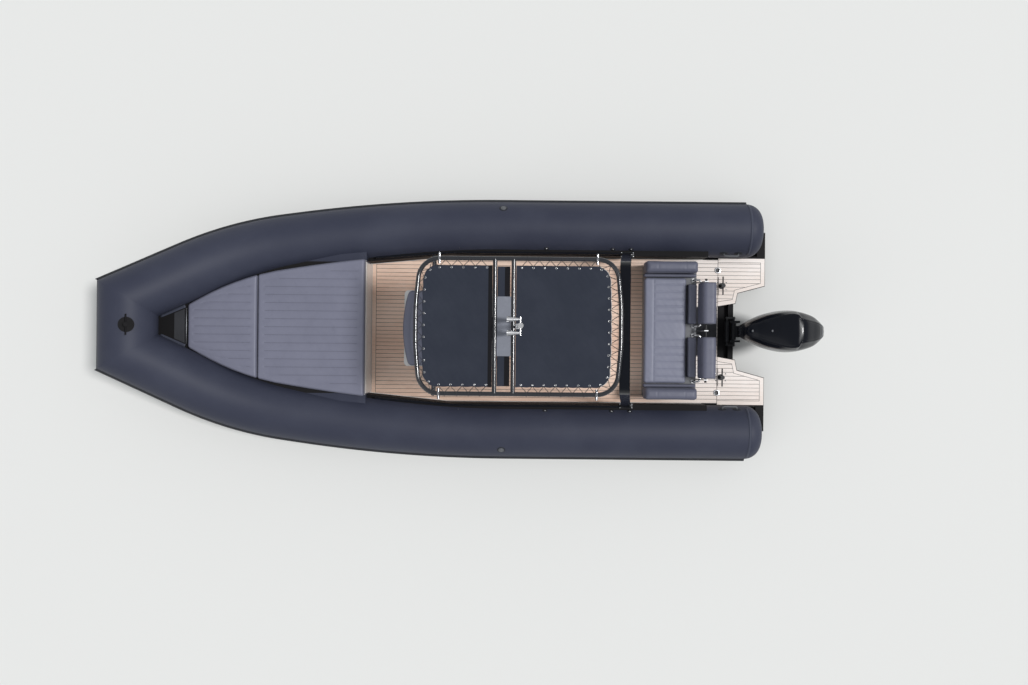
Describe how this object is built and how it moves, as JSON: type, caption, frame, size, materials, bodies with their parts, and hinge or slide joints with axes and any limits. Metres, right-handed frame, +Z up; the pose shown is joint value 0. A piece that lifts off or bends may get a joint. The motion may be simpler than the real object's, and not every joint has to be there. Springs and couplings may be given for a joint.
{
  "type": "rigid inflatable boat with t-top and outboard",
  "caption": "Rigid inflatable boat: V hull and inflated collar, teak deck, bow sun pad, console, T-top, stern bench and one tilting, steering outboard with propeller.",
  "frame": {"origin": "on the waterline plane and the centreline, at the aft face of the transom", "axes": "+X towards the bow, +Y to port, +Z up"},
  "size_m": [7.8649, 2.9698, 3.5773],
  "materials": {
    "gelcoat": "polished white gelcoat",
    "gunwale": "dark gelcoat",
    "hull_gelcoat": "polished light gelcoat",
    "teak": "sanded and oiled teak planks with dark seams",
    "collar": "matt dark slate coated tube fabric",
    "strake": "satin black rubber profile",
    "rail_black": "satin black powder coat",
    "cushion": "light grey vinyl with sewn channels",
    "cushion_aft": "light grey vinyl with sewn channels",
    "board": "light gelcoat board",
    "dark_plate": "non-slip dark surface",
    "steel": "polished stainless steel",
    "screen": "smoked acrylic",
    "dash": "satin black panel",
    "wheel": "moulded black rim",
    "canvas": "dark grey coated canvas",
    "cord": "light braided cord",
    "roof_metal": "satin dark grey tube",
    "arch": "gloss black paint",
    "plate_grey": "grey painted plate",
    "mast": "white and bright metal fittings",
    "engine_black": "gloss black paint",
    "engine_metal": "gloss black paint",
    "bracket": "satin black paint",
    "powerhead": "closed block that stands for the engine inside",
    "propeller": "polished stainless steel"
  },
  "bodies": {
    "boat": {"hull_bottom": "hull_gelcoat", "deck_moulding": "gelcoat", "gunwales": "gunwale", "teak_sole": "teak", "teak_platforms": "teak", "collar_port": "collar", "collar_starboard": "collar", "collar_bow": "collar", "rubbing_strake": "strake", "side_rails": "rail_black", "bow_post": "steel", "bow_eye": "steel", "stern_bollards": "steel", "stern_eyes": "steel", "console_shell": "gelcoat", "windscreen": "screen", "dash_panel": "dash", "throttle": "dash", "front_seat_cushion": "cushion", "helm_seat_base": "gelcoat", "helm_seat_cushion": "cushion", "helm_backrest": "cushion", "roof_frame": "roof_metal", "t_top_legs": "roof_metal", "t_top_arch": "arch", "canvas_aft": "canvas", "canvas_front": "canvas", "lacing": "cord", "roof_plate": "plate_grey", "mast_light": "mast", "bench_base": "gelcoat", "armrests": "cushion_aft", "rear_pads": "cushion_aft", "backrest_frame": "steel", "clamp_bracket": "bracket"},
    "swivel": {"swivel_bracket": "bracket", "steering_cylinder": "steel"},
    "engine": {"cowl": "engine_black", "powerhead": "powerhead", "lower_cowl": "engine_black", "midsection": "engine_metal", "gearcase": "engine_metal"},
    "propeller": {"propeller": "propeller"},
    "helm_wheel": {"steering_wheel": "wheel"},
    "bench_seat": {"bench_lid": "board", "bench_cushion": "cushion_aft"},
    "rear_bow_hatch": {"bow_lid_rear": "board", "bow_cushion_rear": "cushion"},
    "front_bow_hatch": {"bow_lid_front": "board", "bow_cushion_front": "cushion"},
    "anchor_hatch": {"anchor_lid": "dark_plate"},
    "console_hatch": {"console_door": "board"},
    "backrest_port": {"backrest_port": "cushion_aft"},
    "backrest_starboard": {"backrest_starboard": "cushion_aft"}
  },
  "joints": [
    {"name": "engine_tilt", "type": "hinge", "parent": "boat", "child": "swivel", "pos_m": [0.03, 0, 0.345], "axis": [0, 1, 0], "range_deg": [0, 16]},
    {"name": "engine_steer", "type": "hinge", "parent": "swivel", "child": "engine", "pos_m": [-0.165, 0, 0.27], "axis": [0, 0, 1], "range_deg": [-30, 30]},
    {"name": "propeller_spin", "type": "hinge", "parent": "engine", "child": "propeller", "pos_m": [-0.56, 0, -0.655], "axis": [1, 0, 0], "continuous": true},
    {"name": "helm_turn", "type": "hinge", "parent": "boat", "child": "helm_wheel", "pos_m": [2.7082, 0, 1.05545], "axis": [-0.9063, 0, 0.4226], "range_deg": [-720, 720]},
    {"name": "bench_seat_lift", "type": "hinge", "parent": "boat", "child": "bench_seat", "pos_m": [0.629, 0, 0.659], "axis": [0, -1, 0], "range_deg": [0, 80]},
    {"name": "rear_bow_hatch_lift", "type": "hinge", "parent": "boat", "child": "rear_bow_hatch", "pos_m": [4.202, 0, 0.726], "axis": [0, -1, 0], "range_deg": [0, 80]},
    {"name": "front_bow_hatch_lift", "type": "hinge", "parent": "boat", "child": "front_bow_hatch", "pos_m": [5.39, 0, 0.726], "axis": [0, -1, 0], "range_deg": [0, 80]},
    {"name": "anchor_hatch_lift", "type": "hinge", "parent": "boat", "child": "anchor_hatch", "pos_m": [6.211, 0, 0.6635], "axis": [0, -1, 0], "range_deg": [0, 100]},
    {"name": "console_hatch_swing", "type": "hinge", "parent": "boat", "child": "console_hatch", "pos_m": [2.889, 0.4253, 0.68], "axis": [0, 0, 1], "range_deg": [0, 90]},
    {"name": "backrest_port_tip", "type": "hinge", "parent": "boat", "child": "backrest_port", "pos_m": [0.437, 0.297, 0.7653], "axis": [0, -1, 0], "range_deg": [0, 80]},
    {"name": "backrest_starboard_tip", "type": "hinge", "parent": "boat", "child": "backrest_starboard", "pos_m": [0.437, -0.297, 0.7653], "axis": [0, -1, 0], "range_deg": [0, 80]}
  ],
  "couplings": [
    {"joint": "engine_steer", "follows": "helm_turn", "ratio": -0.041667}
  ]
}
